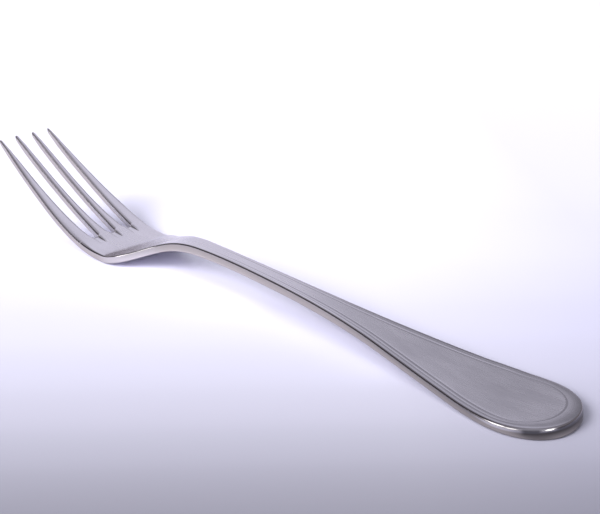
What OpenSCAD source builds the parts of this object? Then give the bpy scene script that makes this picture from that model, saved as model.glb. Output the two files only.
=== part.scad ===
// Four-tine dinner fork, stamped and forged from one blank of stainless steel.
// Lengths are in millimetres. The fork lies on its back on the table as it is laid to rest:
// X runs along it with the tine tips at -X, Y runs across it, and Z = 0 is the table.
// The steel is one loft: rings of points across the fork follow its outline and its side profile,
// each tine has rings of its own, and the four of them join the palm at the roots of the slots.

/* [Overall] */
// Length from the tine tips to the end of the handle
fork_len = 201.4; // [165:0.2:235]
// Height of the tine tips above the table, on the upper face
tip_rise = 28.4; // [20:0.1:34]
// Height of the arch behind the head, on the upper face
arch_rise = 11; // [8.5:0.25:16]

/* [Head] */
// Width of the head across the outer tines, at the roots of the slots
head_w = 24.4; // [20:0.2:30]
// Width of the head across the outer tines, at their tips
tips_w = 19; // [16:0.2:24]
// Length of the slots between the tines
slot_len = 46.2; // [35:0.2:56]
// Distance between the centre lines of two slots
slot_pitch = 6.15; // [5.4:0.05:6.8]
// Width of a slot at its root
slot_root_w = 3; // [2.2:0.1:3.6]
// Width of a slot at the tips
slot_tip_w = 5; // [3.8:0.1:5.1]
// Width of the palm behind the slots
palm_w = 24; // [20:0.2:30]
// Length of the palm, from the slots to the start of the shoulders
palm_len = 12.2; // [9:0.2:18]
// Length of the shoulders, where the palm narrows to the neck
shoulder_len = 45; // [36:0.5:56]
// Length of the hollow that runs out of each slot into the palm
relief_len = 4.2; // [2:0.1:7]
// Depth of that hollow at the slot
relief_depth = 0.4; // [0.2:0.05:1.1]
// Width of the hollow's side slope
relief_slope_w = 0.3; // [0.15:0.05:0.6]

/* [Handle] */
// Least width of the neck
neck_w = 5.4; // [4.2:0.1:8]
// Greatest width of the handle, near its end
end_w = 22.2; // [17:0.2:27]
// Length of the rounded end, from the greatest width on
end_len = 12.9; // [9:0.1:18]
// Width of the border, from the edge to the inner groove
border_w = 2.2; // [1.6:0.1:3]
// Half the width of the inner groove
groove_half_w = 0.3; // [0.15:0.05:0.4]
// Depth of the inner groove
groove_depth = 0.1; // [0.05:0.01:0.3]
// Half the width of the crease outside the bead
crease_half_w = 0.2; // [0.1:0.05:0.25]
// Depth of the crease outside the bead
crease_depth = 0.05; // [0.03:0.01:0.2]
// Fall of the rim towards the edge
rim_fall = 0.14; // [0:0.01:0.3]

/* [Thickness] */
// Thickness of the tines
tine_t = 2.9; // [2:0.1:3.6]
// Thickness of a tine just behind its point
tip_t = 1.6; // [1:0.1:2]
// Thickness of the palm
palm_t = 2.5; // [1.8:0.1:3.4]
// Thickness of the neck
neck_t = 2.65; // [2.2:0.05:4.5]
// Thickness of the middle of the handle
handle_t = 2; // [1.6:0.1:3.2]
// Thickness of the handle's end
end_t = 3.2; // [2.2:0.1:4]

/* [Edges] */
// Width of the rounding on the upper edges of the handle and palm
edge_r = 0.65; // [0.3:0.05:0.8]
// Width of the rounding on the upper edges of the tines
tine_edge_r = 0.95; // [0.4:0.05:1.1]
// Width of the rounding on the lower edges
lower_edge_r = 0.75; // [0.4:0.05:1]
// How far the side walls of the neck and handle lean in towards the top
wall_lean = 0.14; // [0:0.02:0.3]
// Length of the blunt point of each tine
point_len = 0.9; // [0.5:0.1:2]
// Length over which a tine thins to its point
point_taper_len = 6; // [3:0.5:10]

/* [Mesh] */
// Distance between two rings on the palm and shoulders
palm_step = 1.6; // [1.2:0.1:4]
// Distance between two rings on the handle and tines
handle_step = 2.6; // [2:0.1:6]
// Rings round a quarter of the handle's end
end_rings = 14; // [8:1:20]
// Rings round the root of a slot
root_rings = 5; // [4:1:8]

/* [Hidden] */

steel_color = [0.74, 0.73, 0.74];

x_tip = -fork_len / 2;
x_end = fork_len / 2;
x_root = x_tip + slot_len;
x_shoulder = x_root + palm_len;
x_neck = x_shoulder + shoulder_len;
x_widest = x_end - end_len;
x_relief = x_root + relief_len;

head_half = head_w / 2;
palm_half = palm_w / 2;
tips_half = tips_w / 2;
neck_half = neck_w / 2;
end_half = end_w / 2;
root_half = slot_root_w / 2;

// Side profile. Each pair is a share of the fork's length, counted from the tips, and the height
// there: on the head as a share of the tips' rise, and behind it as a share of the arch's height.
head_height_shares = [[0, 1], [0.057, 0.723], [0.106, 0.496], [0.156, 0.289], [0.196, 0.15], [0.23, 0.056],
                      [0.26, 0.008], [0.285, 0]];
arch_height_shares = [[0.31, 0.13], [0.335, 0.327], [0.354, 0.513], [0.374, 0.703], [0.394, 0.858], [0.414, 0.952],
                      [0.439, 1], [0.474, 0.986], [0.513, 0.945], [0.563, 0.875], [0.623, 0.774], [0.682, 0.646],
                      [0.742, 0.49], [0.801, 0.309], [0.851, 0.16], [0.891, 0.055], [0.926, 0], [1, 0]];

// Plan outline. Shoulders: shares of their length against what is left of the palm's extra width.
shoulder_shares = [[0, 1], [0.067, 0.975], [0.133, 0.88], [0.2, 0.698], [0.267, 0.489], [0.333, 0.325],
                   [0.4, 0.222], [0.467, 0.152], [0.556, 0.087], [0.667, 0.042], [0.822, 0.013], [1, 0]];
// Handle: shares of the way from the neck to the widest place against its extra width there.
flare_shares = [[0, 0], [0.118, 0.004], [0.26, 0.047], [0.4, 0.132], [0.543, 0.272], [0.684, 0.472],
                [0.826, 0.72], [0.93, 0.925], [1, 1]];
// Outer edge of the head: shares of the way from the tips to the slots' roots, and of its extra width.
head_edge_shares = [[0, 0], [0.127, 0.148], [0.273, 0.355], [0.515, 0.646], [0.758, 0.908], [0.903, 0.986], [1, 1]];
// Half width of a slot, counted the same way: what it gains from its root to the tips.
slot_shares = [[0, 1], [0.11, 0.84], [0.29, 0.63], [0.47, 0.56], [0.573, 0.49], [0.68, 0.42], [0.787, 0.27],
               [0.903, 0.1], [1, 0]];
// Thickness of the handle: shares of the way from the neck to the widest place against the thinning.
thinning_shares = [[0, 0], [0.12, 0.08], [0.26, 0.23], [0.4, 0.39], [0.54, 0.62], [0.68, 0.86], [0.8, 1]];
// The same from the widest place to the end, against the thickening.
thickening_shares = [[0, 0.12], [0.5, 0.45], [1, 1]];

// A smooth curve through pairs that never swings past them, and runs straight on beyond the ends.
function rise(p, i) = (p[i + 1][1] - p[i][1]) / (p[i + 1][0] - p[i][0]);
function slope(p, i) =
    i == 0 ? rise(p, 0) :
    i == len(p) - 1 ? rise(p, len(p) - 2) :
    let (a = rise(p, i - 1), b = rise(p, i))
    a * b <= 0 ? 0 : 2 * a * b / (a + b);
function span_of(p, x, i = 0) = i >= len(p) - 2 || x < p[i + 1][0] ? i : span_of(p, x, i + 1);
function through(p, x) =
    let (
        q = min(max(x, p[0][0]), p[len(p) - 1][0]),
        i = span_of(p, q),
        h = p[i + 1][0] - p[i][0],
        t = (q - p[i][0]) / h
    )
    slope(p, q < x ? i + 1 : i) * (x - q)
    + p[i][1] * (1 + 2 * t) * pow(1 - t, 2) + slope(p, i) * h * t * pow(1 - t, 2)
    + p[i + 1][1] * t * t * (3 - 2 * t) + slope(p, i + 1) * h * t * t * (t - 1);

// The same curve, averaged over a short way so that its bends run smoothly into each other.
soft_shares = [1 / 16, 4 / 16, 6 / 16, 4 / 16, 1 / 16];
function soft(p, x, reach) =
    soft_shares * [for (k = [0 : 4]) through(p, x + (k - 2) * reach / 2)];

function clamp01(u) = min(max(u, 0), 1);
function ease(u) = let (v = clamp01(u)) v * v * (3 - 2 * v);
function mix(a, b, u) = a + (b - a) * u;

// Thickness along the fork: it starts to change halfway up the tines, has come most of the way to the
// palm's at the slots' roots, and reaches the neck's before the shoulders end.
tine_even_share = 0.5;
root_thick_share = 0.3;
neck_thick_share = 0.65;
thickness_points = concat(
    [[x_tip, tine_t], [mix(x_tip, x_root, tine_even_share), tine_t]],
    [[x_root, mix(palm_t, tine_t, root_thick_share)], [x_shoulder, palm_t]],
    [[mix(x_shoulder, x_neck, neck_thick_share), neck_t]],
    [for (s = thinning_shares) [mix(x_neck, x_widest, s[0]), mix(neck_t, handle_t, s[1])]],
    [for (s = thickening_shares) [mix(x_widest, x_end, s[0]), mix(handle_t, end_t, s[1])]]
);
thick_reach_share = 0.015;
function thickness(x) = soft(thickness_points, x, thick_reach_share * fork_len);
// What a tine has lost of it near its point, and how much of that its upper face has lost.
taper_power = 1.5;
function thinned(x) = (tine_t - tip_t) * pow(clamp01((x_tip + point_taper_len - x) / point_taper_len), taper_power);
taper_upper_share = 0.35;

// Height of the underside, and of the upper face over it.
under_points = concat(
    [for (s = head_height_shares) [x_tip + s[0] * fork_len, s[1] * (tip_rise - tine_t)]],
    [for (s = arch_height_shares) [x_tip + s[0] * fork_len, s[1] * (arch_rise - neck_t)]]
);
under_reach_share = 0.01;
function under(x) = soft(under_points, x, under_reach_share * fork_len);
function upper(x) = under(x) + thickness(x);

// Half width of the fork behind the slots. Shares of the palm's length say where it leaves the head's
// width and where it has come to its own.
palm_start_share = -0.2;
palm_even_share = 0.5;
outline_points = concat(
    [[x_tip, head_half], [mix(x_root, x_shoulder, palm_start_share), head_half]],
    [[mix(x_root, x_shoulder, palm_even_share), palm_half]],
    [for (s = shoulder_shares) [mix(x_shoulder, x_neck, s[0]), mix(neck_half, palm_half, s[1])]],
    [for (i = [1 : len(flare_shares) - 1])
        [mix(x_neck, x_widest, flare_shares[i][0]), mix(neck_half, end_half, flare_shares[i][1])]],
    [[x_end, end_half]]
);
outline_reach_share = 0.006;
function half_width(x) = soft(outline_points, x, outline_reach_share * fork_len);
function widening(x) = (half_width(x + palm_step / 2) - half_width(x - palm_step / 2)) / palm_step;
// How much longer a step across is than the same step square to the outline.
function skew_of(x) = sqrt(1 + pow(widening(x), 2));
// How far the wall leans in at its top: not at all on the tines, and fully from the shoulders on.
function lean_of(x) = wall_lean * ease((x - mix(x_root, x_shoulder, palm_even_share)) / palm_len);

// Outer edge of the head, and half the open width of a slot, which closes round its root.
tine_reach_share = 0.04;
function head_edge(x) =
    mix(tips_half, head_half, soft(head_edge_shares, (x - x_tip) / slot_len, tine_reach_share));
function open_half(x) =
    mix(root_half, slot_tip_w / 2, soft(slot_shares, (x - x_tip) / slot_len, tine_reach_share));
root_power = 2.6;
function closing(x) =
    let (u = clamp01((x - x_root + root_half) / root_half))
    pow(1 - pow(u, root_power), 1 / root_power);

// How far a rounded edge has dropped, at an inset given as a share of the rounding's width.
function rounding(s) = 1 - sqrt(max(0, 1 - pow(1 - min(s, 1), 2)));
edge_shares = [0, 0.13, 0.45, 1];
slot_edge_shares = [0, 0.3, 1];
lower_shares = [0, 0.35, 1];
edge_drop_share = 0.85;
upper_drop_share = 0.27;

function upper_drop(x) = min(edge_drop_share * edge_r, upper_drop_share * thickness(x));
function tine_drop(x) = min(tine_edge_r, upper_drop_share * (thickness(x) - thinned(x)));
function lower_drop(x) = min(edge_drop_share * lower_edge_r, upper_drop_share * (thickness(x) - thinned(x)));

// Border of the handle. It draws in where the neck is narrow, and its depth fades out there.
border_reach_share = 1.02;
function border_scale(w) = 1 - exp(-pow(w / (border_reach_share * neck_half), 2));
border_fade_shares = [-0.02, 0.18];
function border_fade(x) =
    let (a = mix(x_neck, x_widest, border_fade_shares[0]), b = mix(x_neck, x_widest, border_fade_shares[1]))
    ease((x - a) / (b - a));
crease_share = 0.6;
border_insets = [
    crease_share * border_w - crease_half_w,
    crease_share * border_w,
    crease_share * border_w + crease_half_w,
    border_w - groove_half_w,
    border_w,
    border_w + groove_half_w
];
border_drops = [0, crease_depth, 0, 0, groove_depth, 0];
panel_shares = [0.66, 0.33];

// Width taken by the upper edge's rounding, which is wider on the tines.
function edge_width(x) = mix(tine_edge_r, edge_r, ease((x - x_root) / palm_len));
function edge_fall(x) = mix(tine_drop(x), upper_drop(x), ease((x - x_root) / palm_len));
// From the slots' columns at 0 to the border's columns at 1.
settle_share = 0.15;
function settle(x) = ease((x - x_relief) / (mix(x_shoulder, x_neck, settle_share) - x_relief));
relief_power = 0.8;
function relief(x) = relief_depth * pow(clamp01((x_relief - x) / relief_len), relief_power);

// Places across the fork and drops from the upper face, from the edge to the centre line, as pairs.
function slot_columns(x) =
    let (g = root_half, s = relief_slope_w, p = slot_pitch, r = relief(x))
    [[p + g, 0], [p + g - s, r], [p, r], [p - g + s, r], [p - g, 0], [p / 2, 0], [g, 0], [g - s, r], [0, r]];
function border_columns(x, w) =
    let (k = border_scale(w), f = border_fade(x))
    concat(
        [for (i = [0 : 5]) [w - k * border_insets[i], f * border_drops[i]]],
        [for (s = panel_shares) [s * (w - k * border_insets[5]), 0]],
        [[0, 0]]
    );
function upper_columns(x) =
    let (
        w = half_width(x),
        m = skew_of(x),
        e = edge_width(x),
        l = lean_of(x),
        d = edge_fall(x),
        fall = rim_fall * border_fade(x),
        u = settle(x),
        a = slot_columns(x),
        b = border_columns(x, w)
    )
    concat(
        [for (s = edge_shares) [w - m * mix(l, e, s), fall + d * rounding(s)]],
        [for (i = [0 : 8]) mix(a[i], b[i], u)]
    );
lower_panel_shares = [0.85, 0.68, 0.51, 0.34, 0.17, 0];
function lower_columns(x) =
    let (
        w = half_width(x),
        m = skew_of(x),
        e = lower_edge_r,
        d = lower_drop(x),
        p = slot_pitch,
        g = root_half,
        u = settle(x),
        inner = w - m * e,
        a = [p + g, p, p - g, p / 2, g, 0],
        b = lower_panel_shares * inner
    )
    concat(
        [for (s = lower_shares) [w - m * s * e, d * rounding(s)]],
        [for (i = [0 : 5]) [mix(a[i], b[i], u), 0]]
    );

// A whole ring from its half: over the upper face from -Y to +Y, and back along the underside.
function ring(x) =
    let (
        up = upper_columns(x),
        low = lower_columns(x),
        n = len(up) - 1,
        k = len(low) - 1,
        zu = upper(x),
        zl = under(x)
    )
    concat(
        [for (i = [0 : n]) [x, -up[i][0], zu - up[i][1]]],
        [for (i = [n - 1 : -1 : 0]) [x, up[i][0], zu - up[i][1]]],
        [for (i = [0 : k]) [x, low[i][0], zl + low[i][1]]],
        [for (i = [k - 1 : -1 : 0]) [x, -low[i][0], zl + low[i][1]]]
    );

// Rings of the rounded end. At angle a the outline and every line of the border lie on ellipses of
// their own, and the last ring closes on the centre line. The border is wider there, and its crease
// fades out on the way.
tip_border_share = 1.35;
crease_fade_share = 1.4;
end_power = 2.1;
function bulged(u) = pow(max(0, u), 2 / end_power);
function on_end(inset, stretch, a) =
    [x_widest + (end_len - stretch * inset) * bulged(cos(a)), (end_half - inset) * bulged(sin(a))];
function end_upper(a) =
    let (
        c = upper_columns(x_widest),
        s = [for (i = [0 : 12]) i < 4 ? 1 : tip_border_share],
        e = cos(a),
        inner = on_end(end_half - c[9][0], tip_border_share, a),
        fade = [for (i = [0 : 12]) i == 5 ? 1 - ease(crease_fade_share * e) : 1]
    )
    [for (i = [0 : 12])
        let (q = i < 10 ? on_end(end_half - c[i][0], s[i], a) : [inner[0], inner[1] * c[i][0] / c[9][0]])
        [q[0], q[1], upper(q[0]) - c[i][1] * fade[i]]];
function end_lower(a) =
    let (c = lower_columns(x_widest), inner = on_end(end_half - c[2][0], 1, a))
    [for (i = [0 : 8])
        let (q = i < 3 ? on_end(end_half - c[i][0], 1, a) : [inner[0], inner[1] * c[i][0] / c[2][0]])
        [q[0], q[1], under(q[0]) + c[i][1]]];
function flip(p) = [p[0], -p[1], p[2]];
function end_ring(a) =
    let (up = end_upper(a), low = end_lower(a), n = len(up) - 1, k = len(low) - 1)
    concat(
        [for (i = [0 : n]) flip(up[i])],
        [for (i = [n - 1 : -1 : 0]) up[i]],
        [for (i = [0 : k]) low[i]],
        [for (i = [k - 1 : -1 : 0]) flip(low[i])]
    );

// Stations of the rings behind the slots. They lie closer where the palm rises to the neck.
relief_rings = 4;
fine_share = 0.7;
x_fine = mix(x_shoulder, x_neck, fine_share);
function stations(a, b, step) = let (n = ceil((b - a) / step)) [for (i = [0 : n - 1]) mix(a, b, i / n)];
body_stations = concat(
    stations(x_root, x_relief, relief_len / relief_rings),
    stations(x_relief, x_fine, palm_step),
    stations(x_fine, x_widest, handle_step)
);
end_angles = [for (i = [0 : end_rings]) 90 * (1 - i / end_rings)];
body_rings = concat([for (x = body_stations) ring(x)], [for (a = end_angles) end_ring(a)]);
ring_len = len(body_rings[0]);
upper_len = 25;

// Tines. Number 0 is the outer one at -Y and number 1 the inner one beside it; 2 and 3 mirror them.
function tine_side(n) = n < 2 ? -1 : 1;
function tine_outer(n) = n == 0 || n == 3;
edge_max_share = 0.42;
lower_inner_share = 0.6;
function tine_w(x, outer) = outer ? head_edge(x) - slot_pitch - open_half(x) : slot_pitch - 2 * open_half(x);
// Half ring of a tine from its outer to its inner side: the upper and the lower points, as pairs.
function tine_upper(x, outer) =
    let (
        g = open_half(x) * closing(x),
        v = 1 - closing(x),
        s = relief_slope_w,
        e = min(tine_edge_r, edge_max_share * tine_w(x, outer)),
        d = tine_drop(x),
        low = mix(d, relief_depth, v),
        mid = mix(d * rounding(slot_edge_shares[1]), relief_depth, v),
        near = mix(e * slot_edge_shares[1], open_half(x) - s, v),
        far = mix(e, open_half(x), v),
        p = slot_pitch
    )
    outer
    ? concat(
        [for (k = edge_shares) [head_edge(x) - k * e, d * rounding(k)]],
        [[p + g + far, 0], [p + g + near, mid], [p + g, low]]
    )
    : [[p - g, low], [p - g - near, mid], [p - g - far, 0], [p / 2, 0], [g + far, 0], [g + near, mid], [g, low]];
function tine_lower(x, outer) =
    let (
        g = open_half(x) * closing(x),
        v = 1 - closing(x),
        e = min(lower_edge_r, edge_max_share * tine_w(x, outer)),
        d = lower_drop(x),
        near = mix(e * lower_inner_share, open_half(x), v),
        low = mix(d, 0, v),
        mid = mix(d * rounding(lower_inner_share), 0, v),
        p = slot_pitch
    )
    outer
    ? [[head_edge(x), d], [head_edge(x) - lower_shares[1] * e, d * rounding(lower_shares[1])],
       [head_edge(x) - e, 0], [p + g + near, mid], [p + g, low]]
    : [[p - g, low], [p - g - near, mid], [p / 2, 0], [g + near, mid], [g, low]];

// Near its tip a ring draws in to the middle of the tine.
function point_scale(x) = sqrt(max(0, 1 - pow(clamp01((x_tip + point_len - x) / point_len), 2)));
function drawn(p, c, q) = c + (p - c) * q;
function tine_ring(x, n) =
    let (
        outer = tine_outer(n),
        side = tine_side(n),
        up = tine_upper(x, outer),
        low = tine_lower(x, outer),
        zu = upper(x) - taper_upper_share * thinned(x),
        zl = under(x) + (1 - taper_upper_share) * thinned(x),
        q = point_scale(x),
        yc = (up[0][0] + up[6][0]) / 2,
        zc = (zu + zl) / 2,
        a = [for (c = up) [x, side * drawn(c[0], yc, q), drawn(zu - c[1], zc, q)]],
        b = [for (i = [4 : -1 : 0]) [x, side * drawn(low[i][0], yc, q), drawn(zl + low[i][1], zc, q)]]
    )
    concat(a, b);
tine_len = 12;
function tine_tip(n) =
    let (r = tine_ring(x_tip + point_len, n), c = tine_ring(x_tip, n))
    [x_tip, (c[0][1] + c[6][1]) / 2, c[0][2]];
point_angles = [0, 35, 60, 80];
tine_stations = concat(
    [for (i = [root_rings - 1 : -1 : 0])
        x_root - root_half + root_half * sin(90 * i / root_rings)],
    [for (x = stations(x_root - root_half, x_tip + point_taper_len, -handle_step)) if (x < x_root - root_half) x],
    stations(x_tip + point_taper_len, x_tip + point_len, -handle_step / 2),
    [for (a = point_angles) x_tip + point_len * (1 - sin(a))]
);

// Numbers of the palm's own points that a tine's first ring meets, in that ring's order.
function root_points(n) =
    let (
        outer = tine_outer(n),
        up = outer ? [0 : 6] : [6 : 12],
        low = outer ? [4 : -1 : 0] : [8 : -1 : 4],
        last_up = upper_len - 1,
        last = ring_len - 1
    )
    n < 2
    ? concat([for (i = up) i], [for (i = low) last - i])
    : concat([for (i = up) last_up - i], [for (i = low) upper_len + i]);

body_points = [for (r = body_rings, p = r) p];
body_count = len(body_points);
rows = len(tine_stations);
per_tine = rows * tine_len + 1;
tine_points = [for (n = [0 : 3]) each concat([for (x = tine_stations) each tine_ring(x, n)], [tine_tip(n)])];

// Two triangles between neighbours on two rings, given by the numbers of their points.
function strip(a, b, turned) =
    [for (i = [0 : len(a) - 1])
        let (j = (i + 1) % len(a))
        each (turned ? [[a[i], b[i], a[j]], [a[j], b[i], b[j]]] : [[a[i], a[j], b[i]], [a[j], b[j], b[i]]])];
function body_numbers(r) = [for (i = [0 : ring_len - 1]) r * ring_len + i];
function tine_numbers(n, r) = [for (i = [0 : tine_len - 1]) body_count + n * per_tine + r * tine_len + i];

body_faces = [for (r = [0 : len(body_rings) - 2]) each strip(body_numbers(r), body_numbers(r + 1), false)];
function tine_faces(n) =
    let (turned = n < 2, tip = body_count + (n + 1) * per_tine - 1, last = tine_numbers(n, rows - 1))
    concat(
        strip(root_points(n), tine_numbers(n, 0), turned),
        [for (r = [0 : rows - 2]) each strip(tine_numbers(n, r), tine_numbers(n, r + 1), turned)],
        [for (i = [0 : tine_len - 1])
            let (j = (i + 1) % tine_len)
            turned ? [last[i], tip, last[j]] : [last[i], last[j], tip]]
    );

module fork() {
    color(steel_color)
        polyhedron(
            points = concat(body_points, tine_points),
            faces = concat(body_faces, [for (n = [0 : 3]) each tine_faces(n)]),
            convexity = 8
        );
}

fork();
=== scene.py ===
from math import cos, exp, pi, radians, sin, sqrt

import bpy
from mathutils import Matrix, Vector


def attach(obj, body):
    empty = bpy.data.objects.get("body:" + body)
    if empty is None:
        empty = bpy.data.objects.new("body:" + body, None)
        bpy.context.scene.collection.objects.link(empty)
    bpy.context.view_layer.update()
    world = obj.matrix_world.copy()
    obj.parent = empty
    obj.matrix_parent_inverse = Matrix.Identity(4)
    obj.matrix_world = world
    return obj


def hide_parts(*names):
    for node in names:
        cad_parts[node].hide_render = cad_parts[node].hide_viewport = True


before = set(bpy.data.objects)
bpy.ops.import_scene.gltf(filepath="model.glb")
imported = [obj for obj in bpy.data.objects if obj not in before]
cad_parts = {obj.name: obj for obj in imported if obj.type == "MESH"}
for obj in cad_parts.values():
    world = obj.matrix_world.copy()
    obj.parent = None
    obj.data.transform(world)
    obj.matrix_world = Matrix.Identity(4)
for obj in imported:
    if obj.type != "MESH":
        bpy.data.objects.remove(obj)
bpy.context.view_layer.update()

MM = 0.001

# Sizes of the fork in millimetres. They are those of the part's source, but for a slightly wider handle,
# narrower slot roots, and a wider border with shallower lines.
FORK_LEN = 201.4
TIP_RISE = 28.4
ARCH_RISE = 11
HEAD_W = 24.4
TIPS_W = 19
SLOT_LEN = 46.2
SLOT_PITCH = 6.15
SLOT_ROOT_W = 2.2
SLOT_TIP_W = 5
PALM_W = 24
PALM_LEN = 12.2
SHOULDER_LEN = 45
RELIEF_LEN = 4.2
RELIEF_DEPTH = 0.4
RELIEF_SLOPE_W = 0.3
NECK_W = 5.8
END_W = 23
END_LEN = 12.9
BORDER_W = 2.55
GROOVE_HALF_W = 0.3
GROOVE_DEPTH = 0.032
CREASE_HALF_W = 0.2
CREASE_DEPTH = 0.018
BEAD_RISE = 0.01
RIM_FALL = 0.06
TINE_T = 2.9
TIP_T = 1.6
PALM_T = 2.5
NECK_T = 2.65
HANDLE_T = 2
END_T = 3.2
EDGE_R = 0.65
WALL_LEAN = 0.14
TINE_EDGE_R = 0.95
LOWER_EDGE_R = 0.75
CROWN = 0.1
POINT_LEN = 0.9
POINT_TAPER_LEN = 6

# Shares of a length, a width or a thickness at which the shape changes.
TINE_EVEN_SHARE = 0.5
ROOT_THICK_SHARE = 0.3
NECK_THICK_SHARE = 0.65
PALM_START_SHARE = 0.2
PALM_EVEN_SHARE = 0.5
SETTLE_SHARE = 0.15
EDGE_DROP_SHARE = 0.85
UPPER_DROP_SHARE = 0.27
END_DROP_SHARE = 0.6
TAPER_UPPER_SHARE = 0.35
TINE_EDGE_SHARE = 0.42
CREASE_SHARE = 0.6
BORDER_REACH_SHARE = 1.02
END_BORDER_SHARE = 1.35

# Powers that shape a tine's taper, a slot's root, the turn of its walls, the channels and the handle's end.
TAPER_POWER = 1.5
ROOT_POWER = 2.6
TURN_POWER = 1.5
RELIEF_POWER = 0.8
END_POWER = 2.1

# How far each curve is averaged: in millimetres along the fork, and for the head in slot lengths.
UNDER_REACH = 0.01 * FORK_LEN
THICK_REACH = 0.015 * FORK_LEN
OUTLINE_REACH = 0.006 * FORK_LEN
HEAD_REACH = 0.04

# Places along the fork, from the tips to the handle's end.
X_TIP = -FORK_LEN / 2
X_END = FORK_LEN / 2
X_POINT = X_TIP + POINT_LEN
X_TAPER = X_TIP + POINT_TAPER_LEN
X_ROOT = X_TIP + SLOT_LEN
X_RELIEF = X_ROOT + RELIEF_LEN
X_SHOULDER = X_ROOT + PALM_LEN
X_NECK = X_SHOULDER + SHOULDER_LEN
X_WIDEST = X_END - END_LEN
NECK_HALF = NECK_W / 2
END_HALF = END_W / 2
ROOT_HALF = SLOT_ROOT_W / 2

# Between which places the border's lines come in, and the upper edge's rounding grows deeper at the end.
BORDER_START = (X_NECK - 13, X_NECK + 3)
END_DROP = (X_WIDEST - 10, X_WIDEST + 4)

# Weights of the five places over which a curve is averaged.
SOFT_SHARES = (1 / 16, 4 / 16, 6 / 16, 4 / 16, 1 / 16)


# A smooth curve through pairs that never swings past them and runs straight on beyond the ends.
class Curve:
    def __init__(self, pairs, reach):
        self.x = [p[0] for p in pairs]
        self.y = [p[1] for p in pairs]
        self.reach = reach
        last = len(pairs) - 1
        rise = [(self.y[i + 1] - self.y[i]) / (self.x[i + 1] - self.x[i]) for i in range(last)]
        self.slope = [rise[0]]
        for a, b in zip(rise, rise[1:]):
            self.slope.append(0.0 if a * b <= 0 else 2 * a * b / (a + b))
        self.slope.append(rise[-1])

    def plain(self, x):
        q = min(max(x, self.x[0]), self.x[-1])
        i = 0
        while i < len(self.x) - 2 and q >= self.x[i + 1]:
            i += 1
        h = self.x[i + 1] - self.x[i]
        t = (q - self.x[i]) / h
        y = self.y[i] * (1 + 2 * t) * (1 - t) ** 2 + self.slope[i] * h * t * (1 - t) ** 2
        y += self.y[i + 1] * t * t * (3 - 2 * t) + self.slope[i + 1] * h * t * t * (t - 1)
        return y + self.slope[0 if x < q else -1] * (x - q)

    def __call__(self, x):
        return sum(s * self.plain(x + (k - 2) * self.reach / 2) for k, s in enumerate(SOFT_SHARES))


def clamp01(u):
    return min(max(u, 0.0), 1.0)


def ease(u):
    v = clamp01(u)
    return v * v * (3 - 2 * v)


def mix(a, b, u):
    return a + (b - a) * u


# The share of the way from one place to another at which x lies, eased at both.
def between(x, first, last):
    return ease((x - first) / (last - first))


# Side profile: shares of the fork's length from the tips on, and the height there, on the head as a share of
# the tips' rise and behind it of the arch's.
HEAD_HEIGHT = [(0, 1), (0.057, 0.723), (0.106, 0.496), (0.156, 0.289), (0.196, 0.15), (0.23, 0.056),
               (0.26, 0.008), (0.285, 0)]
ARCH_HEIGHT = [(0.31, 0.13), (0.335, 0.327), (0.354, 0.513), (0.374, 0.703), (0.394, 0.858), (0.414, 0.952),
               (0.439, 1), (0.474, 0.986), (0.513, 0.945), (0.563, 0.875), (0.623, 0.774), (0.682, 0.646),
               (0.742, 0.49), (0.801, 0.309), (0.851, 0.16), (0.891, 0.055), (0.926, 0), (1, 0)]
# Plan outline: shares of the way along the shoulder, the handle and the head's edge, and of the extra width
# there.
SHOULDER = [(0, 1), (0.067, 0.975), (0.133, 0.88), (0.2, 0.698), (0.267, 0.489), (0.333, 0.325), (0.4, 0.222),
            (0.467, 0.152), (0.556, 0.087), (0.667, 0.042), (0.822, 0.013), (1, 0)]
FLARE = [(0, 0), (0.118, 0.018), (0.26, 0.06), (0.4, 0.136), (0.543, 0.282), (0.684, 0.504), (0.826, 0.75),
         (0.93, 0.938), (1, 1)]
HEAD_EDGE = [(0, 0), (0.127, 0.148), (0.273, 0.355), (0.515, 0.646), (0.758, 0.908), (0.903, 0.986), (1, 1)]
# A slot's half width: shares of the way from the tips to its root, and of what it has there over the root's.
SLOT = [(0, 1), (0.11, 0.886), (0.29, 0.736), (0.47, 0.686), (0.573, 0.636), (0.68, 0.57), (0.787, 0.46),
        (0.88, 0.34), (0.94, 0.17), (1, 0)]
# Thickness: shares of the way along the handle and its rounded end, and of the thinning and the thickening.
THINNING = [(0, 0), (0.12, 0.08), (0.26, 0.23), (0.4, 0.39), (0.54, 0.62), (0.68, 0.86), (0.8, 1)]
THICKENING = [(0, 0.12), (0.5, 0.45), (1, 1)]

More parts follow.
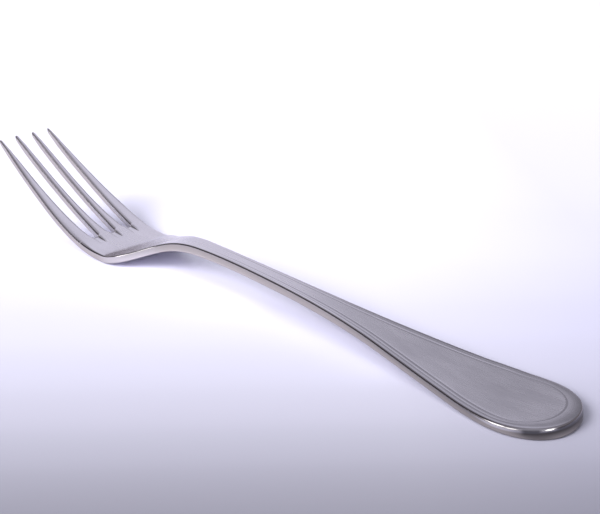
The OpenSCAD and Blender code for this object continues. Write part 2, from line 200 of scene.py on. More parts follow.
under = Curve(
    [(X_TIP + s * FORK_LEN, h * (TIP_RISE - TINE_T)) for s, h in HEAD_HEIGHT]
    + [(X_TIP + s * FORK_LEN, h * (ARCH_RISE - NECK_T)) for s, h in ARCH_HEIGHT],
    UNDER_REACH,
)
thickness = Curve(
    [(X_TIP, TINE_T), (mix(X_TIP, X_ROOT, TINE_EVEN_SHARE), TINE_T)]
    + [(X_ROOT, mix(PALM_T, TINE_T, ROOT_THICK_SHARE)), (X_SHOULDER, PALM_T)]
    + [(mix(X_SHOULDER, X_NECK, NECK_THICK_SHARE), NECK_T)]
    + [(mix(X_NECK, X_WIDEST, s), mix(NECK_T, HANDLE_T, h)) for s, h in THINNING]
    + [(mix(X_WIDEST, X_END, s), mix(HANDLE_T, END_T, h)) for s, h in THICKENING],
    THICK_REACH,
)
half_width = Curve(
    [(X_TIP, HEAD_W / 2), (X_ROOT - PALM_START_SHARE * PALM_LEN, HEAD_W / 2)]
    + [(mix(X_ROOT, X_SHOULDER, PALM_EVEN_SHARE), PALM_W / 2)]
    + [(mix(X_SHOULDER, X_NECK, s), mix(NECK_HALF, PALM_W / 2, h)) for s, h in SHOULDER]
    + [(mix(X_NECK, X_WIDEST, s), mix(NECK_HALF, END_HALF, h)) for s, h in FLARE[1:]]
    + [(X_END, END_HALF)],
    OUTLINE_REACH,
)
head_curve = Curve(HEAD_EDGE, HEAD_REACH)
slot_curve = Curve(SLOT, HEAD_REACH)

# Half the distance over which the outline's slope is measured, in millimetres.
SKEW_STEP = 0.8


def upper(x):
    return under(x) + thickness(x)


# How much longer a width is across the fork than square to its slanting outline.
def skew(x):
    return sqrt(1 + ((half_width(x + SKEW_STEP) - half_width(x - SKEW_STEP)) / (2 * SKEW_STEP)) ** 2)


def thinned(x):
    return (TINE_T - TIP_T) * clamp01((X_TAPER - x) / POINT_TAPER_LEN) ** TAPER_POWER


def head_edge(x):
    return mix(TIPS_W / 2, HEAD_W / 2, head_curve((x - X_TIP) / SLOT_LEN))


def open_half(x):
    return mix(ROOT_HALF, SLOT_TIP_W / 2, slot_curve((x - X_TIP) / SLOT_LEN))


# The share of a slot's width that is open, which falls to nothing round its root.
def closing(x):
    u = clamp01((x - X_ROOT + ROOT_HALF) / ROOT_HALF)
    return (1 - u ** ROOT_POWER) ** (1 / ROOT_POWER)


# How far a rounded edge has dropped, at an inset given as a share of the rounding's width.
def rounding(s):
    return 1 - sqrt(max(0.0, 1 - (1 - min(s, 1.0)) ** 2))


def lean(x):
    return WALL_LEAN * ease((x - X_ROOT - PALM_LEN / 2) / PALM_LEN)


def upper_drop(x):
    common = min(EDGE_DROP_SHARE * EDGE_R, UPPER_DROP_SHARE * thickness(x))
    return mix(common, END_DROP_SHARE * thickness(x), between(x, *END_DROP))


def tine_drop(x):
    return min(EDGE_DROP_SHARE * TINE_EDGE_R, UPPER_DROP_SHARE * (thickness(x) - thinned(x)))


def lower_drop(x):
    return min(EDGE_DROP_SHARE * LOWER_EDGE_R, UPPER_DROP_SHARE * (thickness(x) - thinned(x)))


def border_fade(x):
    return between(x, *BORDER_START)


def relief(x):
    return RELIEF_DEPTH * clamp01((X_RELIEF - x) / RELIEF_LEN) ** RELIEF_POWER


# How far the head's columns have moved to their places in the handle.
def settle(x):
    return between(x, X_RELIEF, mix(X_SHOULDER, X_NECK, SETTLE_SHARE))


# Shares of a rounding's width at which its points lie, from the wall to the flat.
EDGE = [0, 0.035, 0.13, 0.28, 0.48, 0.72, 1]
EDGE_N = len(EDGE)
EDGE_STEPS = EDGE_N - 1
# Drops of the channel's side slope from its rim to its floor.
SIDE = [0, 0.1, 0.35, 0.65, 0.9, 1]
SIDE_STEPS = len(SIDE) - 1
# Shares of the way across a flat face at which its columns lie.
THIRDS = (0.33, 0.67)
QUARTERS = (0.25, 0.5, 0.75)
FIFTHS = (0.2, 0.4, 0.6, 0.8)
# Shares of the handle's panel at which its columns lie, from the groove to the middle.
PANEL = [0.93, 0.86, 0.78, 0.7, 0.61, 0.52, 0.43, 0.34, 0.25, 0.16, 0.08, 0]


def flat(first, last, shares):
    return [(mix(first, last, k), 0) for k in shares]


# Insets and drops across a pressed line, at shares of its half width from its middle.
def pressed(middle, half, depth, shares):
    return [(middle + k * half, depth * (0.5 + 0.5 * cos(pi * k))) for k in shares]


# The border from the edge inwards: a crease, a low bead and a groove.
CREASE_AT = CREASE_SHARE * BORDER_W
BEAD = (CREASE_AT + CREASE_HALF_W, BORDER_W - GROOVE_HALF_W)
CREASE_COLUMNS = pressed(CREASE_AT, CREASE_HALF_W, CREASE_DEPTH, (-1, -0.5, 0, 0.5, 1))
BEAD_COLUMNS = [(mix(*BEAD, k), -BEAD_RISE * sin(pi * k)) for k in QUARTERS]
GROOVE_COLUMNS = pressed(BORDER_W, GROOVE_HALF_W, GROOVE_DEPTH, (-1, -0.6, -0.3, 0, 0.3, 0.6, 1))
BORDER = CREASE_COLUMNS + BEAD_COLUMNS + GROOVE_COLUMNS


# Half widths and drops of the palm's columns, from the edge's rounding over a channel to the middle channel.
def slot_columns(x, w, e):
    g, s, p, r = ROOT_HALF, RELIEF_SLOPE_W, SLOT_PITCH, relief(x)
    slope = [(s * k / SIDE_STEPS, r * d) for k, d in enumerate(SIDE)]
    out = flat(w - e, p + g, QUARTERS) + [(p + g - y, d) for y, d in slope]
    out += [(p, r)] + [(p - g + y, d) for y, d in reversed(slope)]
    out += flat(p - g, g, FIFTHS) + [(g - y, d) for y, d in slope]
    return out + [(0, r)]


def border_columns(x, w):
    k = 1 - exp(-((w / (NECK_HALF * BORDER_REACH_SHARE)) ** 2))
    f = border_fade(x)
    out = [(w - k * inset, f * drop) for inset, drop in BORDER]
    inner = out[-1][0]
    return out + [(share * inner, 0) for share in PANEL]


# Half widths and drops of the upper side's columns, from the wall to the middle.
def upper_columns(x):
    w = half_width(x)
    m = skew(x)
    v = ease((x - X_ROOT) / PALM_LEN)
    e = mix(TINE_EDGE_R, EDGE_R, v)
    d = mix(tine_drop(x), upper_drop(x), v)
    fall = RIM_FALL * border_fade(x)
    u = settle(x)
    edge = [(w - m * (s * e + (1 - s) * lean(x)), fall + d * rounding(s)) for s in EDGE]
    pairs = zip(slot_columns(x, w, e), border_columns(x, w))
    return edge + [(mix(p[0], q[0], u), mix(p[1], q[1], u)) for p, q in pairs]


# The same for the lower side, with rises for drops.
def lower_columns(x):
    w = half_width(x)
    m = skew(x)
    u = settle(x)
    p, g = SLOT_PITCH, ROOT_HALF
    edge = [(w - m * s * LOWER_EDGE_R, lower_drop(x) * rounding(s)) for s in EDGE]
    inner = w - m * LOWER_EDGE_R
    steps = [k / EDGE_STEPS for k in range(EDGE_N)]
    places = [mix(inner, p + g, k) for k in THIRDS]
    places += [mix(p + g, p, k) for k in steps] + [mix(p, p - g, k) for k in steps[1:]]
    places += [mix(p - g, g, k) for k in QUARTERS] + [mix(g, 0, k) for k in steps]
    n = len(places)
    return edge + [(mix(y, inner * (n - 1 - i) / n, u), 0) for i, y in enumerate(places)]


# Values of the upper and the lower side's columns, carried round a whole ring.
def all_round(up, low):
    return up + up[-2::-1] + low + low[-2::-1]


UPPER_N = len(upper_columns(0))
LOWER_N = len(lower_columns(0))

# How far each column belongs to the polished rim.
EDGE_RIM = [1, 1, 1, 1, 1, 0.9, 0.6]
UPPER_RIM = EDGE_RIM + [0.3] * (len(BORDER) - 2) + [0.15, 0.05] + [0] * len(PANEL)
LOWER_RIM = EDGE_RIM + [0.3] * (LOWER_N - EDGE_N)
RIM = all_round(UPPER_RIM, LOWER_RIM)

# How far each column belongs to the walls, which take painted shade a little darker than the faces.
UPPER_WALL_SHADE = [1] + [0] * (UPPER_N - 1)
LOWER_WALL_SHADE = [1, 1, 1, 0.8, 0.5, 0, 0] + [0] * (LOWER_N - EDGE_N)
WALL_SHADE = all_round(UPPER_WALL_SHADE, LOWER_WALL_SHADE)

# How dull the border's columns are and how much painted shade they take, from the edge inwards: in its
# pressed lines and in the band between.
LINE_DULL_AND_SHADE = [0.1, 0.2, 0.3, 0.2, 0, 0, 0, 0, 0.1, 0.22, 0.32, 0.4, 0.38, 0.25, 0.05]
BAND_DULL_AND_SHADE = [0.28, 0.26, 0.25, 0.2, 0.12, 0.08, 0.05, 0.08, 0.15, 0.2, 0.26, 0.3, 0.28, 0.2, 0.05]
# Painted dark reflections on a rounding, from the wall to the flat: on the upper edge along the handle, round
# its end and in the end's two dark arcs, and on the lower edge.
EDGE_SHADE = [0.35, 0.75, 0.6, 0.4, 0.5, 0.6, 0.5]
END_SHADE = [1, 0.95, 0.05, 0.3, 0.4, 0.45, 0.45]
ARC_SHADE = [1, 1, 0.95, 0.8, 0.5, 0.35, 0.3]
LOWER_SHADE = [0, 0.2, 0.35, 0.4, 0.4, 0.3, 0.15]
# Columns of a rounding that belong to the wall.
WALL_COLUMNS = 3

# Between which places along the fork each part of the dullness and painted shade sets in or stops, in
# millimetres.
BAND_START = (15, 60)
EDGE_START = (-38, -26)
FULL_EDGE = (25, 65)
WALL_STOP = (82, 88)
END_START = (90.5, 96)
ARC_START = (93.2, 94.4)
ARC_STOP = (96.6, 97.6)
LAST_ARC_START = (98.6, 99.4)
FOOT_START = (92, 96.5)
FOOT_STOP = (97, 99.5)
# Shares of painted shade: the neck's, and the wall foot's along the handle and at its end, where it falls
# again.
NECK_SHADE = 0.5
FOOT_SHADE = 0.1
FOOT_END_SHADE = 0.56
FOOT_END_FALL = 0.55


# How dull each point of the ring at x is, with its painted shade and painted dark reflections.
def dull_and_shade_around(x):
    lines, bands = border_fade(x), between(x, *BAND_START)
    handle, end = between(x, *FULL_EDGE), between(x, *END_START)
    edge = mix(NECK_SHADE, 1, handle) * between(x, *EDGE_START)
    wall = edge * (1 - between(x, *WALL_STOP))
    arc = max(between(x, *ARC_START) * (1 - between(x, *ARC_STOP)), between(x, *LAST_ARC_START))
    foot = FOOT_END_SHADE * between(x, *FOOT_START) * (1 - FOOT_END_FALL * between(x, *FOOT_STOP))
    foot = max(FOOT_SHADE * wall, foot)
    along = [wall] * WALL_COLUMNS + [edge] + [handle] * (EDGE_N - WALL_COLUMNS - 1)
    up = [max(a * b, end * c, arc * d) for a, b, c, d in zip(along, EDGE_SHADE, END_SHADE, ARC_SHADE)]
    up += [max(lines * a, bands * b) for a, b in zip(LINE_DULL_AND_SHADE, BAND_DULL_AND_SHADE)] + [0] * len(PANEL)
    low = [max(foot, v) for v in LOWER_SHADE[:WALL_COLUMNS]] + LOWER_SHADE[WALL_COLUMNS:]
    return all_round(up, low + [0] * (LOWER_N - EDGE_N))


# Where the wall's painted shade along the palm's rise starts and stops to be lighter, as a painted highlight,
# and by which share.
WALL_HIGHLIGHT_START = (-47, -40)
WALL_HIGHLIGHT_STOP = (-29, -22)
WALL_HIGHLIGHT_SHARE = 0.4


def wall_shade_share(x):
    return 1 - WALL_HIGHLIGHT_SHARE * between(x, *WALL_HIGHLIGHT_START) * (1 - between(x, *WALL_HIGHLIGHT_STOP))


# How far each tine's tip lies from where the others end, along the tine and towards the palm.
TIP_SLIDES = (0.45, 0, 0, -0.3)


# A point moved along the fork, and up or down with its slope there.
def slid(p, slide):
    rise = upper(p[0] + 0.5) - upper(p[0] - 0.5)
    return (p[0] + slide, p[1], p[2] + slide * rise)


# Where a slot's wall starts and ends to take painted shade and a rougher finish towards its root, at its top
# and at its foot.
ROOT_SHADE_TOP = (X_ROOT - 20, X_ROOT - 8)
ROOT_SHADE_FOOT = (X_ROOT - 8, X_ROOT - 1)


# The points of a closed section, from the near wall's top over the upper side and back under the lower side.
def ring(x):
    zu, zl = upper(x), under(x)
    up, low = upper_columns(x), lower_columns(x)
    pts = [(x, -y, zu - d) for y, d in up]
    pts += [(x, y, zu - d) for y, d in reversed(up[:-1])]
    pts += [(x, y, zl + d) for y, d in low]
    pts += [(x, -y, zl + d) for y, d in reversed(low[:-1])]
    return pts


# How fast the crease fades out round the handle's end.
CREASE_FADE_RATE = 1.4


def bulged(v):
    return max(0.0, v) ** (2 / END_POWER)


# A point of the rounded end's outline, moved inwards by the inset, which is stretched along the fork.
def on_end(inset, stretch, a):
    return X_WIDEST + (END_LEN - stretch * inset) * bulged(cos(a)), (END_HALF - inset) * bulged(sin(a))


# The rounded end's ring at an angle, from a right one, where the end starts, to none at its outermost point.
def end_ring(a):
    up, low = upper_columns(X_WIDEST), lower_columns(X_WIDEST)
    fade = 1 - ease(cos(a) * CREASE_FADE_RATE)
    last = EDGE_N + len(BORDER) - 1
    upper_half, lower_half = [], []
    for i, (y, d) in enumerate(up):
        if i <= last:
            stretch = 1 if i < EDGE_N else END_BORDER_SHARE
            px, py = on_end(END_HALF - y, stretch, a)
            inner = (px, py)
        else:
            px, py = inner[0], inner[1] * y / up[last][0]
        if EDGE_N <= i < EDGE_N + len(CREASE_COLUMNS):
            d *= fade
        upper_half.append((px, py, upper(px) - d))
    for i, (y, d) in enumerate(low):
        if i < EDGE_N:
            px, py = on_end(END_HALF - y, 1, a)
            inner = (px, py)
        else:
            px, py = inner[0], inner[1] * y / low[EDGE_STEPS][0]
        lower_half.append((px, py, under(px) + d))
    pts = [(x, -y, z) for x, y, z in upper_half]
    pts += list(reversed(upper_half[:-1]))
    pts += lower_half
    return pts + [(x, -y, z) for x, y, z in reversed(lower_half[:-1])]


# Least distance in millimetres from one column to the next beside a slot.
LEAST_STEP = 0.01


# One tine's half section, from its outer to its inner side, over the top and back under it.
def tine_section(x, outer):
    g = open_half(x) * closing(x)
    v = clamp01((x - X_ROOT + ROOT_HALF) / ROOT_HALF) ** TURN_POWER
    p = SLOT_PITCH
    w = head_edge(x) - p - open_half(x) if outer else p - 2 * open_half(x)
    e = min(TINE_EDGE_R, TINE_EDGE_SHARE * w)
    el = min(LOWER_EDGE_R, TINE_EDGE_SHARE * w)
    d, dl = tine_drop(x), lower_drop(x)
    s = RELIEF_SLOPE_W
    # From the slot's wall to the flat: distances from the slot's centre line, and drops.
    walls, lows = [(g, mix(d, RELIEF_DEPTH, v))], [(g, mix(dl, 0, v))]
    bulge = CROWN * ease((X_ROOT - x) / PALM_LEN)
    for k, share in enumerate(EDGE[1:]):
        least = g + LEAST_STEP * (k + 1) * (1 - v)
        y = mix(g + e * share, ROOT_HALF - s + s * k / SIDE_STEPS, v)
        walls.append((max(y, least), mix(d * rounding(share), RELIEF_DEPTH * SIDE[SIDE_STEPS - k], v)))
        y = mix(g + el * share, ROOT_HALF * (k + 1) / EDGE_STEPS, v)
        lows.append((max(y, least), mix(dl * rounding(share), 0, v)))
    if outer:
        y = head_edge(x)
        up = [(y - s * e, d * rounding(s)) for s in EDGE]
        up += flat(up[-1][0], p + walls[-1][0], QUARTERS) + [(p + o, q) for o, q in reversed(walls)]
        low = [(y - s * el, dl * rounding(s)) for s in EDGE]
        low += flat(low[-1][0], p + lows[-1][0], THIRDS) + [(p + o, q) for o, q in reversed(lows)]
    else:
        up = [(p - o, q) for o, q in walls]
        up += flat(up[-1][0], walls[-1][0], FIFTHS) + walls[::-1]
        low = [(p - o, q) for o, q in lows]
        low += flat(low[-1][0], lows[-1][0], QUARTERS) + lows[::-1]
    centre, half = (up[0][0] + up[-1][0]) / 2, (up[0][0] - up[-1][0]) / 2
    return [(y, drop + bulge * ((y - centre) / half) ** 2) for y, drop in up], low


# The points round one tine at x, how many of them are on its upper side, and the point in which it ends.
def tine_ring(x, outer, side):
    up, low = tine_section(x, outer)
    zu = upper(x) - TAPER_UPPER_SHARE * thinned(x)
    zl = under(x) + (1 - TAPER_UPPER_SHARE) * thinned(x)
    q = sqrt(max(0.0, 1 - clamp01((X_POINT - x) / POINT_LEN) ** 2))
    yc, zc = (up[0][0] + up[-1][0]) / 2, (zu + zl) / 2
    pts = [(x, side * mix(yc, y, q), mix(zc, zu - d, q)) for y, d in up]
    pts += [(x, side * mix(yc, y, q), mix(zc, zl + d, q)) for y, d in reversed(low)]
    return pts, len(up), (X_TIP, side * yc, zc)


# Distances between rings in millimetres, on the channels, the shoulder, the neck, the handle, a tine and its
# taper.
RELIEF_STEP = 0.3
SHOULDER_STEP = 0.6
NECK_STEP = 0.9
HANDLE_STEP = 1.0
TINE_STEP = 0.9
TAPER_STEP = 0.5
# Where the shoulder's rings end and the neck's begin.
X_SLIM = -18
# How many rings turn round the handle's end and a slot's root, and the angles in degrees of those at a point.
END_RINGS = 44
ROOT_RINGS = 16
POINT_TURNS = (0, 15, 30, 44, 56, 67, 76, 84)
# The columns at the centre line of an outer slot, on the upper and the lower side.
MID_UP = EDGE_N + len(QUARTERS) + len(SIDE)
MID_LOW = EDGE_N + len(THIRDS) + EDGE_STEPS
# Shares of polish on a tine's top and on its rounded edges.
TINE_POLISH = 0.2
TINE_EDGE_POLISH = 0.3
OUTER_TINES = (0, 3)


# Places from one up to another, which is left out, at about equal steps.
def spread(a, b, step):
    n = max(1, round(abs(b - a) / step))
    return [mix(a, b, i / n) for i in range(n)]


# The steel's points, each with the finish and the painted shade of its place, and the faces between them.
class Skin:
    def __init__(self):
        self.verts, self.index, self.faces = [], {}, []
        self.finish_and_shade = {"rim": [], "side": [], "rough_root_shade": [], "dull_and_shade": []}

    # The number of the point there. Its finish and painted shade: shares of polish, painted shade on a wall,
    # painted shade with a rougher finish at a slot's root, and dullness with painted shade.
    def number(self, p, polish=1.0, wall_shade=0.0, rough_root_shade=0.0, dull_and_shade=0.0):
        key = tuple(round(v, 5) for v in p)
        if key not in self.index:
            self.index[key] = len(self.verts)
            self.verts.append([v * MM for v in p])
            for values, value in zip(self.finish_and_shade.values(), (polish, wall_shade, rough_root_shade, dull_and_shade)):
                values.append(value)
        return self.index[key]

    def quads(self, a, b, turned):
        for i in range(len(a)):
            j = (i + 1) % len(a)
            f = [a[i], b[i], b[j], a[j]] if turned else [a[i], a[j], b[j], b[i]]
            f = [v for k, v in enumerate(f) if v != f[k - 1]]
            if len(set(f)) > 2:
                self.faces.append(f)

    def cap(self, a, end, turned):
        for i in range(len(a)):
            j = (i + 1) % len(a)
            if a[i] != a[j]:
                self.faces.append([a[i], end, a[j]] if turned else [a[i], a[j], end])

    def mesh(self, name):
        mesh = bpy.data.meshes.new(name)
        mesh.from_pydata(self.verts, [], self.faces)
        for share, values in self.finish_and_shade.items():
            mesh.attributes.new(share, "FLOAT", "POINT").data.foreach_set("value", values)
        mesh.validate()
        mesh.shade_smooth()
        mesh.update()
        return mesh


# Adds the palm, the neck and the handle, and gives back the ring at the slots' roots.
def add_body(skin):
    stations = spread(X_ROOT, X_RELIEF, RELIEF_STEP) + spread(X_RELIEF, X_SLIM, SHOULDER_STEP)
    stations += spread(X_SLIM, X_NECK, NECK_STEP) + spread(X_NECK, X_WIDEST, HANDLE_STEP)
    rings = [ring(x) for x in stations]
    rings += [end_ring(pi / 2 * (1 - i / END_RINGS)) for i in range(END_RINGS)] + [end_ring(0)]
    rows = []
    for points in rings:
        # The ring's dullness with painted shade, and each point's painted shade on the walls.
        dull_and_shade = dull_and_shade_around(points[0][0])
        row = []
        for i, p in enumerate(points):
            row.append(skin.number(p, RIM[i], WALL_SHADE[i] * wall_shade_share(p[0]), 0.0, dull_and_shade[i]))
        rows.append(row)
    for a, b in zip(rows, rows[1:]):
        skin.quads(a, b, True)
    return rows[0]


# Places of a tine's rings, from the slots' roots to its point.
def tine_stations():
    turns = [sin(pi / 2 * i / ROOT_RINGS) for i in reversed(range(ROOT_RINGS))]
    places = [X_ROOT - ROOT_HALF + ROOT_HALF * turn for turn in turns]
    places += spread(X_ROOT - ROOT_HALF, X_TAPER, TINE_STEP)[1:] + spread(X_TAPER, X_POINT, TAPER_STEP)
    return places + [X_TIP + POINT_LEN * (1 - sin(radians(a))) for a in POINT_TURNS]


# The part of the ring at the slots' roots from which a tine runs on.
def tine_start(first, outer, side):
    up = range(0, MID_UP + 1) if outer else range(MID_UP, UPPER_N)
    low = range(MID_LOW, -1, -1) if outer else range(LOWER_N - 1, MID_LOW - 1, -1)
    if side < 0:
        return [first[i] for i in up] + [first[-1 - i] for i in low]
    top_n = 2 * UPPER_N - 1
    return [first[top_n - 1 - i] for i in up] + [first[top_n + i] for i in low]


def add_tine(skin, first, tine):
    outer, side = tine in OUTER_TINES, -1 if tine < 2 else 1
    last = tine_start(first, outer, side)
    for x in tine_stations():
        pts, tops, point = tine_ring(x, outer, side)
        slide = TIP_SLIDES[tine] * clamp01((X_ROOT - x) / SLOT_LEN) ** 2
        corners = {0, tops - 1, tops, len(pts) - 1}
        walls = {tops - 1: ROOT_SHADE_TOP, tops: ROOT_SHADE_FOOT}
        if not outer:
            walls.update({0: ROOT_SHADE_TOP, len(pts) - 1: ROOT_SHADE_FOOT})
        row = []
        for i, p in enumerate(pts):
            polish = TINE_POLISH if EDGE_STEPS < i < tops - EDGE_N else TINE_EDGE_POLISH
            # Painted shade on the tine's walls, and painted shade with a rougher finish on the slot walls
            # towards the root.
            rough_root_shade = between(x, *walls[i]) if i in walls else 0.0
            row.append(skin.number(slid(p, slide), polish, float(i in corners), rough_root_shade))
        skin.quads(last, row, side > 0)
        last = row
    skin.cap(last, skin.number(slid(point, TIP_SLIDES[tine])), side > 0)


def fork_mesh():
    skin = Skin()
    first = add_body(skin)
    for tine in range(len(TIP_SLIDES)):
        add_tine(skin, first, tine)
    return skin.mesh("fork_steel")


steel_piece = bpy.data.objects.new("fork_steel", fork_mesh())
bpy.context.scene.collection.objects.link(steel_piece)
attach(steel_piece, "root")
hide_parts("fork")


# A new material, its node tree and its shader.
def new_material(name):
    material = bpy.data.materials.new(name)
    material.use_nodes = True
    return material, material.node_tree, material.node_tree.nodes["Principled BSDF"]


# A value carried over from one range to another.
def ranged(tree, value, low, high, first=0.0, last=1.0, kind="LINEAR"):
    node = tree.nodes.new("ShaderNodeMapRange")
    node.interpolation_type = kind
    node.inputs["From Min"].default_value = low
    node.inputs["From Max"].default_value = high
    node.inputs["To Min"].default_value = first
    node.inputs["To Max"].default_value = last
    tree.links.new(value, node.inputs["Value"])
    return node.outputs["Result"]


# The share of the way from one distance to another at which a place lies, measured along a direction.
def share_along(tree, place, direction, low, high, kind="LINEAR"):
    node = tree.nodes.new("ShaderNodeVectorMath")
    node.operation = "DOT_PRODUCT"
    node.inputs[1].default_value = direction
    tree.links.new(place, node.inputs[0])
    return ranged(tree, node.outputs["Value"], low, high, kind=kind)


# One colour laid over another by a share. Each is a tuple or another node's output.
def laid_over(tree, under_color, over_color, share, blend="MIX"):
    node = tree.nodes.new("ShaderNodeMix")
    node.data_type = "RGBA"
    node.blend_type = blend
    for name, color in (("A", under_color), ("B", over_color)):
        if isinstance(color, tuple):
            node.inputs[name].default_value = (*color, 1)
        else:
            tree.links.new(color, node.inputs[name])
    tree.links.new(share, node.inputs["Factor"])
    return node.outputs["Result"]


# A value drawn towards a level by a share.
def drawn_to(tree, value, level, share):
    node = tree.nodes.new("ShaderNodeMix")
    node.inputs["B"].default_value = level
    tree.links.new(value, node.inputs["A"])
    tree.links.new(share, node.inputs["Factor"])
    return node.outputs["Result"]


# Colours at places of a ramp that a value runs along.
def ramp(tree, value, stops, interpolation):
    node = tree.nodes.new("ShaderNodeValToRGB")
    node.color_ramp.interpolation = interpolation
    while len(node.color_ramp.elements) < len(stops):
        node.color_ramp.elements.new(0.5)
    for element, (place, color) in zip(node.color_ramp.elements, stops):
        element.position = place
        element.color = (*color, 1)
    tree.links.new(value, node.inputs["Fac"])
    return node.outputs["Color"]


# Green's share of the level in a lilac grey.
LILAC_GREEN = 0.985


# A grey with a little less green and with more blue, by the share given.
def lilac(level, blue):
    return (level, level * LILAC_GREEN, level * blue)


# The steel's colours: the two that its mottling turns between, those of the painted shade that darkens the
# walls and the dull places, that of the painted shade at the slots' roots, and the tint of its glancing
# reflections.
MOTTLE_COLORS = ((0.745, 0.724, 0.727), (0.8, 0.778, 0.775))
WALL_SHADE_TINT = (0.64, 0.607, 0.552)
DULL_AND_SHADE_TINT = (0.2, 0.2, 0.21)
ROOT_SHADE_COLOR = (0.56, 0.545, 0.55)
GLANCE_TINT = (0.8, 0.78, 0.78, 1)
# Its roughness, what the grain adds to it, and the rim's and that of the shaded walls at the slots' roots.
ROUGHNESS = (0.24, 0.29)
GRAIN_ROUGHNESS = (-0.02, 0.02)
RIM_ROUGHNESS = 0.13
ROOT_SHADE_ROUGHNESS = 0.45
# The range of a noise or an attribute that is carried over to a whole range.
MIDDLE = (0.3, 0.7)
# Its noises: their scale, their stretch along, across and above the fork, and their detail and roughness.
MOTTLE = (1, (90, 300, 300), 4, 0.6)
GRAIN = (1, (70, 2200, 2200), 3, 0.6)
PITS = (900, (1, 1, 1), 2, 0.5)
# How strongly the grain and the pits turn the surface, and their heights in millimetres.
RIDGES = (0.012, 0.02)
DENTS = (0.02, 0.03)


# Brushed and half-polished steel: a fine grain along the fork, soft mottling, a smoother rim, painted shade
# on the walls, dull lines with painted shade, painted dark reflections on the edges, and painted shade with a
# rougher finish on the walls at the slots' roots.
def steel_material():
    material, tree, shader = new_material("satin_steel")
    place = tree.nodes.new("ShaderNodeTexCoord").outputs["Object"]

    def noise(scale, stretch, detail, rough):
        turn = tree.nodes.new("ShaderNodeMapping")
        turn.inputs["Scale"].default_value = stretch
        tree.links.new(place, turn.inputs["Vector"])
        node = tree.nodes.new("ShaderNodeTexNoise")
        node.inputs["Scale"].default_value = scale
        node.inputs["Detail"].default_value = detail
        node.inputs["Roughness"].default_value = rough
        tree.links.new(turn.outputs["Vector"], node.inputs["Vector"])
        return node.outputs["Fac"]

    def attribute(name):
        node = tree.nodes.new("ShaderNodeAttribute")
        node.attribute_name = name
        return node.outputs["Fac"]

    def bump(height, strength, distance):
        node = tree.nodes.new("ShaderNodeBump")
        node.inputs["Strength"].default_value = strength
        node.inputs["Distance"].default_value = distance * MM
        tree.links.new(height, node.inputs["Height"])
        return node

    mottle, grain, pits = noise(*MOTTLE), noise(*GRAIN), noise(*PITS)
    # Where the slot walls take painted shade and a rougher finish at the roots.
    rough_root_shade = ranged(tree, attribute("rough_root_shade"), *MIDDLE)

    color = laid_over(tree, *MOTTLE_COLORS, ranged(tree, mottle, *MIDDLE))
    # Painted shade and dark reflections on the walls.
    color = laid_over(tree, color, WALL_SHADE_TINT, attribute("side"), "MULTIPLY")
    # Dullness of the pressed lines with painted shade, and painted dark reflections on the edges.
    color = laid_over(tree, color, DULL_AND_SHADE_TINT, attribute("dull_and_shade"), "MULTIPLY")
    # Painted shade at the slots' roots.
    color = laid_over(tree, color, ROOT_SHADE_COLOR, rough_root_shade)
    tree.links.new(color, shader.inputs["Base Color"])
    shader.inputs["Metallic"].default_value = 1.0
    shader.inputs["Specular Tint"].default_value = GLANCE_TINT

    roughness = tree.nodes.new("ShaderNodeMath")
    roughness.operation = "ADD"
    tree.links.new(ranged(tree, mottle, *MIDDLE, *ROUGHNESS), roughness.inputs[0])
    tree.links.new(ranged(tree, grain, *MIDDLE, *GRAIN_ROUGHNESS), roughness.inputs[1])
    smoother = drawn_to(tree, roughness.outputs["Value"], RIM_ROUGHNESS, attribute("rim"))
    tree.links.new(drawn_to(tree, smoother, ROOT_SHADE_ROUGHNESS, rough_root_shade), shader.inputs["Roughness"])

    ridges, dents = bump(grain, *RIDGES), bump(pits, *DENTS)
    tree.links.new(ridges.outputs["Normal"], dents.inputs["Normal"])
    tree.links.new(dents.outputs["Normal"], shader.inputs["Normal"])
    return material


steel = steel_material()
steel_piece.data.materials.append(steel)
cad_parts["fork"].data.materials.clear()
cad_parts["fork"].data.materials.append(steel)

# Directions on the table, and the distances along them in metres between which its shade changes.
TO_BACK = (-0.69, 0.724, 0)
TO_RIGHT = (0.728, 0.686, 0)
FRONT_FADE = (-0.1, 0.1)
BACK_FADE = (0.06, 0.3)
RIGHT_FADE = (0.04, 0.11)
# Levels of its grey, which paint shade, at shares of the way across the front's shade, and what the painted
# light at the back and the painted shade to the right multiply.
FRONT_SHADE = [(0, 0.212), (0.1, 0.315), (0.17, 0.414), (0.25, 0.5), (0.345, 0.575), (0.46, 0.635),
               (0.6, 0.71), (0.8, 0.75), (1, 0.77)]
BACK_PAINTED_LIGHT = (1.12, 1.12, 1.12)
RIGHT_PAINTED_SHADE = (0.81, 0.81, 0.86)
TABLE_BLUE = 1.23
TABLE_ROUGHNESS = 0.75
TABLE_GLOSS = 0.15
# Half its width in metres, and how far it lies under the fork, in millimetres.
TABLE_HALF = 3.0
TABLE_DROP = 0.02


# Pale tabletop paper with painted light falloff: white at the back and painted shade towards the front and a
# little towards the right.
def table_material():
    material, tree, shader = new_material("pale_table")
    place = tree.nodes.new("ShaderNodeTexCoord").outputs["Object"]
    stops = [(at, lilac(level, TABLE_BLUE)) for at, level in FRONT_SHADE]
    # Painted shade towards the front, painted light at the back and painted shade to the right.
    color = ramp(tree, share_along(tree, place, TO_BACK, *FRONT_FADE), stops, "CARDINAL")
    back = share_along(tree, place, TO_BACK, *BACK_FADE)
    color = laid_over(tree, color, BACK_PAINTED_LIGHT, back, "MULTIPLY")
    right = share_along(tree, place, TO_RIGHT, *RIGHT_FADE)
    color = laid_over(tree, color, RIGHT_PAINTED_SHADE, right, "MULTIPLY")
    tree.links.new(color, shader.inputs["Base Color"])
    shader.inputs["Roughness"].default_value = TABLE_ROUGHNESS
    shader.inputs["Specular IOR Level"].default_value = TABLE_GLOSS
    return material


